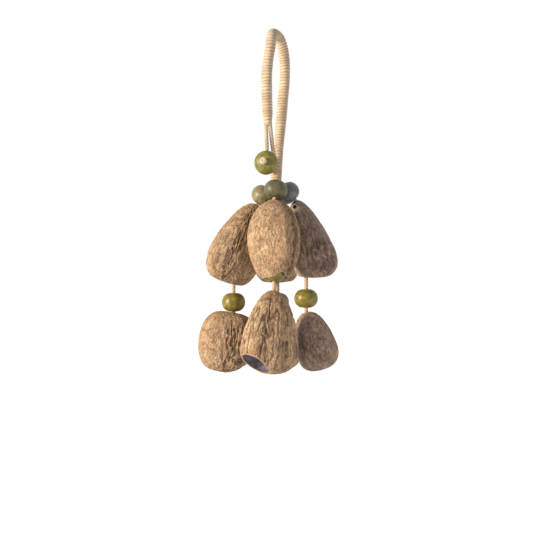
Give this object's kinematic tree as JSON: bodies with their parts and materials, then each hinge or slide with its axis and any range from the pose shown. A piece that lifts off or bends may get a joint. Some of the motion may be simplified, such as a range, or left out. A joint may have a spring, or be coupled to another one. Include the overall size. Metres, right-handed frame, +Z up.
{
  "type": "nutshell rattle",
  "caption": "Hanging hand rattle: cut nutshells and painted wooden beads on cotton strings, gathered under a bound cotton wrist loop with a toggle bead.",
  "frame": {"origin": "the inner side of the wrist loop at its top, where the rattle hangs", "axes": "+Z up along the hanging rattle, -Y towards the front nutshells and the toggle bead, +X to the right"},
  "size_m": [0.0815, 0.0756, 0.1988],
  "materials": {
    "cotton": "matt, bound cotton",
    "bead_paint": "olive paint, satin",
    "nutshell": "raw nutshell, furrowed"
  },
  "bodies": {
    "handle": {"bound_loop": "cotton", "button_eye": "cotton", "toggle_bead": "bead_paint", "toggle_tie": "cotton", "front_top_bead": "bead_paint", "front_top_string": "cotton", "left_top_bead": "bead_paint", "left_top_string": "cotton", "right_top_bead": "bead_paint", "right_top_string": "cotton", "back_top_bead": "bead_paint", "back_top_string": "cotton"},
    "front_upper": {"front_upper_shell": "nutshell", "front_shell_string": "cotton", "front_lower_bead": "bead_paint"},
    "front_lower": {"front_lower_shell": "nutshell", "front_lower_string": "cotton"},
    "left_upper": {"left_upper_shell": "nutshell", "left_shell_string": "cotton"},
    "left_lower": {"left_lower_shell": "nutshell", "left_lower_string": "cotton", "left_lower_bead": "bead_paint"},
    "right_upper": {"right_upper_shell": "nutshell", "right_shell_string": "cotton"},
    "right_lower": {"right_lower_shell": "nutshell", "right_lower_string": "cotton", "right_lower_bead": "bead_paint"},
    "back_upper": {"back_upper_shell": "nutshell", "back_shell_string": "cotton"},
    "back_lower": {"back_lower_shell": "nutshell", "back_lower_string": "cotton", "back_lower_bead": "bead_paint"}
  },
  "joints": [
    {"name": "front_swing", "type": "hinge", "parent": "handle", "child": "front_upper", "pos_m": [-0.00069, -0.01341, -0.09241], "axis": [-1, 0, 0], "range_deg": [0, 30]},
    {"name": "front_lower_swing", "type": "hinge", "parent": "front_upper", "child": "front_lower", "pos_m": [-0.001, -0.02101, -0.13947], "axis": [-1, 0, 0], "range_deg": [0, 30]},
    {"name": "left_swing", "type": "hinge", "parent": "handle", "child": "left_upper", "pos_m": [-0.01087, 0.00226, -0.09463], "axis": [0, 1, 0], "range_deg": [0, 30]},
    {"name": "left_lower_swing", "type": "hinge", "parent": "left_upper", "child": "left_lower", "pos_m": [-0.02417, 0.00364, -0.14065], "axis": [0, 1, 0], "range_deg": [0, 30]},
    {"name": "right_swing", "type": "hinge", "parent": "handle", "child": "right_upper", "pos_m": [0.01125, 0.00337, -0.09245], "axis": [0, -1, 0], "range_deg": [0, 30]},
    {"name": "right_lower_swing", "type": "hinge", "parent": "right_upper", "child": "right_lower", "pos_m": [0.01764, 0.00451, -0.13592], "axis": [0, -1, 0], "range_deg": [0, 30]},
    {"name": "back_swing", "type": "hinge", "parent": "handle", "child": "back_upper", "pos_m": [0.00088, 0.0171, -0.09339], "axis": [1, 0, 0], "range_deg": [0, 30]},
    {"name": "back_lower_swing", "type": "hinge", "parent": "back_upper", "child": "back_lower", "pos_m": [0.00128, 0.02286, -0.14013], "axis": [1, 0, 0], "range_deg": [0, 30]}
  ]
}
